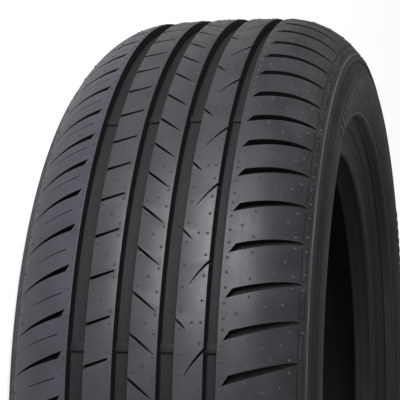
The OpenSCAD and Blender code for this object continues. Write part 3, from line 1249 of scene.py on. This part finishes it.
@dataclass
class WallRibs:
    """Plain radial ribs in groups round the upper sidewall; the lower one rests on the floor and has none."""

    section: Section
    groups: int = 4
    per_group: int = 13
    step: float = 2.2
    first: float = 65.0
    outer_r: float = 266.0
    inner_r: float = 254.0
    width: float = 4.4
    height: float = 0.5
    sunk: float = 0.4

    def ground(self, radius: float, angle: float) -> bool:
        """Says whether a place of the upper sidewall lies between the ribs of a group."""
        turn = (angle - self.first + self.step / 2) % (360 / self.groups)
        return self.inner_r - 1 < radius < self.outer_r + 1 and turn < self.per_group * self.step

    def build(self) -> bpy.types.Object:
        """Makes one rib, copies it to a group and the group round the upper sidewall.

        Returns:
            The finished piece.
        """
        rib = self.rib()
        spacing = 360 / self.groups
        group = [Bench.copy_turned(rib, -90 - self.first - self.step * i) for i in range(self.per_group)]
        bpy.data.objects.remove(rib)
        first = Bench.join("rib_group", group)
        parts = [first] + [Bench.copy_turned(first, -spacing * i) for i in range(1, self.groups)]
        piece = Bench.join("wall_ribs", parts)
        Bench.smooth(piece)
        return piece

    def rib(self, steps: int = 4) -> bpy.types.Object:
        """One rib of the upper sidewall, for an angle along +X, following the sidewall's arc.

        Args:
            steps: Number of steps along it.

        Returns:
            The rib.
        """
        s = self.section
        ends = s.wall_turn(2 * self.outer_r), s.wall_turn(2 * self.inner_r)
        top, foot = [], []
        for i in range(steps + 1):
            turn = math.radians(ends[0] + (ends[1] - ends[0]) * i / steps)
            rise = self.height if 0 < i < steps else self.height / 3
            for line, radius in ((top, s.sidewall_r + rise), (foot, s.sidewall_r - self.sunk)):
                line.append((s.wall_centre[1] + radius * math.cos(turn), s.wall_centre[0] + radius * math.sin(turn)))
        points = [Vector((radius, -self.width / 2, across)) * MM for radius, across in top + foot[::-1]]
        return Bench.prism("wall_rib", points, Vector((0, self.width * MM, 0)))


@dataclass(frozen=True)
class Rubber:
    """A finish of moulded rubber, with the film that the mould leaves, grain and flow lines."""

    name: str
    colour: tuple[float, float, float]
    tint: tuple[float, float, float]
    roughness: float
    specular: float
    grain: float
    relief: float = 0.1

    def material(self, film: bpy.types.NodeTree) -> bpy.types.Material:
        """Builds the finish as a material.

        Args:
            film: The shared node group of the rubber's film.

        Returns:
            The material.
        """
        material = bpy.data.materials.new(self.name)
        material.use_nodes = True
        nodes, links = material.node_tree.nodes, material.node_tree.links
        shader = nodes["Principled BSDF"]
        shader.inputs["Specular IOR Level"].default_value = self.specular
        group = nodes.new("ShaderNodeGroup")
        group.node_tree = film
        group.inputs["Colour"].default_value = (*self.colour, 1)
        group.inputs["Tint"].default_value = (*self.tint, 1)
        group.inputs["Roughness"].default_value = self.roughness
        group.inputs["Grain"].default_value = self.grain
        links.new(group.outputs["Colour"], shader.inputs["Base Color"])
        links.new(group.outputs["Roughness"], shader.inputs["Roughness"])
        bump = nodes.new("ShaderNodeBump")
        bump.inputs["Strength"].default_value = 1.0
        bump.inputs["Distance"].default_value = self.relief * MM
        links.new(group.outputs["Height"], bump.inputs["Height"])
        links.new(bump.outputs["Normal"], shader.inputs["Normal"])
        return material


@dataclass(frozen=True)
class RubberFilm:
    """The node group that every finish shares: patches of tint, flow lines and a fine grain."""

    layers: float = 3.0
    patch_scale: float = 40.0
    patch_range: Point = (0.42, 0.62)
    patch_gloss: float = -0.03
    flow_turns: float = 0.6
    flow_rows: float = 40.0
    flow_scale: float = 9.0
    flow_range: Point = (0.35, 0.7)
    flow_change: Point = (-0.035, 0.035)
    flow_relief: float = 1.5
    speckle_layers: float = 2.0
    speckle_scale: float = 420.0
    speckle_range: Point = (0.3, 0.7)
    speckle_change: Point = (-0.04, 0.04)
    grain_scale: float = 1500.0

    def build(self) -> bpy.types.NodeTree:
        """Builds the group with its named inputs and outputs."""
        tree = bpy.data.node_groups.new("rubber film", "ShaderNodeTree")
        sockets = tree.interface
        for name, kind in (
            ("Colour", "NodeSocketColor"),
            ("Tint", "NodeSocketColor"),
            ("Roughness", "NodeSocketFloat"),
            ("Grain", "NodeSocketFloat"),
        ):
            sockets.new_socket(name, in_out="INPUT", socket_type=kind)
        for name, kind in (
            ("Colour", "NodeSocketColor"),
            ("Roughness", "NodeSocketFloat"),
            ("Height", "NodeSocketFloat"),
        ):
            sockets.new_socket(name, in_out="OUTPUT", socket_type=kind)
        nodes, links = tree.nodes, tree.links
        given, result = nodes.new("NodeGroupInput"), nodes.new("NodeGroupOutput")
        place = nodes.new("ShaderNodeTexCoord")

        def noise(scale: float, detail: float, vector: Socket) -> Socket:
            """Adds a noise texture and returns its value.

            Args:
                scale: Size of the pattern; larger is finer.
                detail: How many finer layers it has.
                vector: Where it is read.

            Returns:
                The noise's value.
            """
            node = nodes.new("ShaderNodeTexNoise")
            node.inputs["Scale"].default_value = scale
            node.inputs["Detail"].default_value = detail
            links.new(vector, node.inputs["Vector"])
            return node.outputs["Fac"]

        def ramp(value: Socket, source: Point, target: Point) -> Socket:
            """Maps a value from one range to another, clamped.

            Args:
                value: The value.
                source: Start and end of its range.
                target: Results at the start and the end.

            Returns:
                The mapped value.
            """
            node = nodes.new("ShaderNodeMapRange")
            for name, number in zip(("From Min", "From Max", "To Min", "To Max"), (*source, *target)):
                node.inputs[name].default_value = number
            links.new(value, node.inputs["Value"])
            return node.outputs["Result"]

        def maths(operation: str, first: Socket, second: Socket | float) -> Socket:
            """Adds a maths node and returns its value.

            Args:
                operation: What the node does.
                first: First value.
                second: Second value, a socket or a number.

            Returns:
                The node's value.
            """
            node = nodes.new("ShaderNodeMath")
            node.operation = operation
            links.new(first, node.inputs[0])
            if isinstance(second, float):
                node.inputs[1].default_value = second
            else:
                links.new(second, node.inputs[1])
            return node.outputs[0]

        spot = place.outputs["Object"]
        patches = ramp(noise(self.patch_scale, self.layers, spot), self.patch_range, (0.0, 1.0))
        mix = nodes.new("ShaderNodeMix")
        mix.data_type = "RGBA"
        links.new(patches, mix.inputs["Factor"])
        links.new(given.outputs["Colour"], mix.inputs["A"])
        links.new(given.outputs["Tint"], mix.inputs["B"])
        links.new(mix.outputs["Result"], result.inputs["Colour"])

        parts = nodes.new("ShaderNodeSeparateXYZ")
        links.new(spot, parts.inputs["Vector"])
        angle = maths("ARCTAN2", parts.outputs["Y"], parts.outputs["X"])
        flow_at = nodes.new("ShaderNodeCombineXYZ")
        links.new(maths("MULTIPLY", angle, self.flow_turns), flow_at.inputs["X"])
        links.new(maths("MULTIPLY", parts.outputs["Z"], self.flow_rows), flow_at.inputs["Y"])
        flow = noise(self.flow_scale, self.layers, flow_at.outputs["Vector"])
        flow = ramp(flow, self.flow_range, self.flow_change)
        speckle = noise(self.speckle_scale, self.speckle_layers, spot)
        speckle = ramp(speckle, self.speckle_range, self.speckle_change)
        dulled = maths("ADD", given.outputs["Roughness"], maths("MULTIPLY", patches, self.patch_gloss))
        changed = maths("ADD", maths("ADD", dulled, flow), speckle)
        links.new(changed, result.inputs["Roughness"])
        grain = maths("MULTIPLY", noise(self.grain_scale, self.layers, spot), given.outputs["Grain"])
        links.new(maths("ADD", grain, maths("MULTIPLY", flow, self.flow_relief)), result.inputs["Height"])
        return tree


class Finishes(Enum):
    """The rubber of each zone of the surface; some zones are painted lighter as highlights or darker as shade."""

    TREAD = Rubber("tread rubber", (0.031, 0.031, 0.035), (0.037, 0.038, 0.041), 0.43, 0.5, 0.25)
    GROOVE = Rubber("groove rubber", (0.020, 0.018, 0.017), (0.017, 0.017, 0.018), 0.66, 0.22, 0.35)
    # Near-black rubber on groove walls, below groove floors and in the shoulder score lines: painted shade.
    WALL = Rubber("groove wall", (0.010, 0.009, 0.009), (0.009, 0.009, 0.010), 0.7, 0.15, 0.35)
    SHOULDER = Rubber("shoulder rubber", (0.025, 0.025, 0.028), (0.035, 0.036, 0.039), 0.46, 0.4, 0.3)
    # Lighter, bluish rubber on the lower shoulder only: a painted highlight.
    FILM = Rubber("shoulder film", (0.043, 0.044, 0.056), (0.033, 0.035, 0.043), 0.38, 0.62, 0.25)
    # Lighter rubber for the vent nubs: a painted highlight; their pits get the darker groove rubber as painted shade.
    NUB = Rubber("nub rubber", (0.052, 0.052, 0.056), (0.044, 0.044, 0.046), 0.4, 0.5, 0.2)
    # Light rubber on the ridge crest, the band's edge, the rim guard and the wall ribs: a painted highlight.
    EDGE = Rubber("scuffed edge", (0.075, 0.075, 0.078), (0.05, 0.05, 0.052), 0.36, 0.6, 0.3)
    # Darker rubber of the sunk panel; over the step at its edge and round the wall ribs it is painted shade.
    PANEL = Rubber("sunk panel", (0.014, 0.014, 0.016), (0.018, 0.018, 0.019), 0.5, 0.35, 0.5)
    SIDEWALL = Rubber("sidewall rubber", (0.023, 0.023, 0.026), (0.025, 0.024, 0.024), 0.44, 0.35, 0.4)
    INSIDE = Rubber("liner rubber", (0.014, 0.014, 0.015), (0.018, 0.018, 0.019), 0.6, 0.35, 0.5)


@dataclass
class Studio:
    """Camera, pale floor, white surroundings and plain soft lamps."""

    camera_at: tuple[float, float, float] = (-0.3622, -1.1451, 0.25665)
    right: tuple[float, float, float] = (0.0505, 0.2347, 0.9708)
    forward: tuple[float, float, float] = (0.1623, 0.9572, -0.2398)
    lens: float = 129.05
    floor_size: float = 12.0

    def camera(self) -> None:
        """Sets the camera at the photograph's viewing angle."""
        data = bpy.data.cameras.new("camera")
        data.lens = self.lens
        data.sensor_width = 36.0
        camera = bpy.data.objects.new("camera", data)
        bpy.context.scene.collection.objects.link(camera)
        forward = Vector(self.forward).normalized()
        right = (Vector(self.right) - Vector(self.right).dot(forward) * forward).normalized()
        up = right.cross(forward)
        turn = Matrix((right, up, -forward)).transposed().to_4x4()
        camera.matrix_world = Matrix.Translation(self.camera_at) @ turn
        bpy.context.scene.camera = camera

    def lamps(self) -> None:
        """Places the soft lamps."""
        aim = Vector((-0.1, -0.2, 0))
        self.lamp("softbox", Vector((-1.0, -0.8, 0.2)), aim, size=(0.8, 0.6), power=13, colour=(0.95, 0.96, 1.0))
        self.lamp("fill", Vector((0.8, -2.0, 1.6)), aim, size=(1.5, 1.5), power=6.5, colour=(1.0, 1.0, 1.0))
        self.lamp("edge light", Vector((-1.6, 1.2, 1.1)), aim, size=(0.3, 0.8), power=1.6, colour=(1.0, 1.0, 1.0))

    def lamp(
        self,
        name: str,
        place: Vector,
        target: Vector,
        size: tuple[float, float],
        power: float,
        colour: tuple[float, float, float],
    ) -> None:
        """Adds a soft lamp that shines from a place towards a target.

        Args:
            name: Name of the lamp.
            place: Where it stands.
            target: What it shines at.
            size: Its width and height in metres.
            power: Its power in watts.
            colour: Colour of its light.
        """
        data = bpy.data.lights.new(name, "AREA")
        data.shape = "RECTANGLE"
        data.size, data.size_y = size
        data.energy = power
        data.color = colour
        lamp = bpy.data.objects.new(name, data)
        bpy.context.scene.collection.objects.link(lamp)
        lamp.location = place
        lamp.rotation_euler = (target - place).to_track_quat("-Z", "Y").to_euler()

    @staticmethod
    def background(tree: bpy.types.NodeTree, plain: float, white: float, mirrored: float) -> Socket:
        """Strength of a surface that looks white but lights the tyre at a plain level.

        Args:
            tree: Nodes of the surface or the world.
            plain: Strength for the light that falls on the tyre.
            white: Strength that the camera sees, and that shows through glass.
            mirrored: Share of the white that a gloss shows; dull rubber shows little of it.

        Returns:
            The socket with the strength.
        """
        path = tree.nodes.new("ShaderNodeLightPath")
        gloss = tree.nodes.new("ShaderNodeMath")
        gloss.operation = "MULTIPLY"
        gloss.inputs[1].default_value = mirrored
        tree.links.new(path.outputs["Is Glossy Ray"], gloss.inputs[0])
        seen = path.outputs["Is Camera Ray"]
        for part in (path.outputs["Is Transmission Ray"], gloss.outputs[0]):
            total = tree.nodes.new("ShaderNodeMath")
            total.use_clamp = True
            tree.links.new(seen, total.inputs[0])
            tree.links.new(part, total.inputs[1])
            seen = total.outputs[0]
        strength = tree.nodes.new("ShaderNodeMapRange")
        strength.inputs["To Min"].default_value = plain
        strength.inputs["To Max"].default_value = white
        tree.links.new(seen, strength.inputs["Value"])
        return strength.outputs["Result"]

    def surroundings(self) -> None:
        """White for the camera and a plain soft level for everything else."""
        world = bpy.data.worlds.new("studio")
        bpy.context.scene.world = world
        world.use_nodes = True
        tree = world.node_tree
        sky = tree.nodes["Background"]
        sky.inputs["Color"].default_value = (1, 1, 1, 1)
        tree.links.new(self.background(tree, plain=0.18, white=1.0, mirrored=0.04), sky.inputs["Strength"])

    def floor(self, height: float) -> None:
        """Pale floor under the tyre.

        Args:
            height: Height of the floor.
        """
        Bench.clear()
        bpy.ops.mesh.primitive_plane_add(size=self.floor_size, location=(0, 0, height))
        floor = bpy.context.object
        floor.name = "floor"
        material = bpy.data.materials.new("floor")
        material.use_nodes = True
        tree = material.node_tree
        shader = tree.nodes["Principled BSDF"]
        shader.inputs["Base Color"].default_value = (0.8, 0.8, 0.8, 1)
        shader.inputs["Roughness"].default_value = 0.9
        shader.inputs["Emission Color"].default_value = (1, 1, 1, 1)
        strength = self.background(tree, plain=0.0, white=0.8, mirrored=0.33)
        tree.links.new(strength, shader.inputs["Emission Strength"])
        floor.data.materials.append(material)


def main() -> None:
    """Builds the studio and the tyre and hands the pieces to the frame."""
    logging.basicConfig(level=logging.INFO, format="%(name)s: %(message)s")
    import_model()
    bpy.context.scene.view_settings.view_transform = "Standard"
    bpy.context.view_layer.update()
    studio = Studio()
    studio.camera()
    studio.floor(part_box(NODE)[0].z)
    studio.surroundings()
    studio.lamps()

    film = RubberFilm().build()
    materials = {finish: finish.value.material(film) for finish in Finishes}
    section, pitches = Section(), Pitches()
    tyre = TyreBody(section, pitches)
    body = tyre.build()
    wall_ribs = WallRibs(section)
    tyre.dress(body, materials, wall_ribs)
    nubs = VentNubs(section, pitches).build(body, materials[Finishes.NUB], materials[Finishes.GROOVE])
    bars = WearBars(section).build()
    bars.data.materials.append(materials[Finishes.GROOVE])
    ribs = wall_ribs.build()
    # The wall ribs get the light edge rubber as a painted highlight.
    ribs.data.materials.append(materials[Finishes.EDGE])
    for piece in (body, nubs, bars, ribs):
        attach(piece, BODY)
        log.info("%s: %d faces", piece.name, len(piece.data.polygons))
    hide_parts(NODE)


if __name__ == "__main__":
    main()
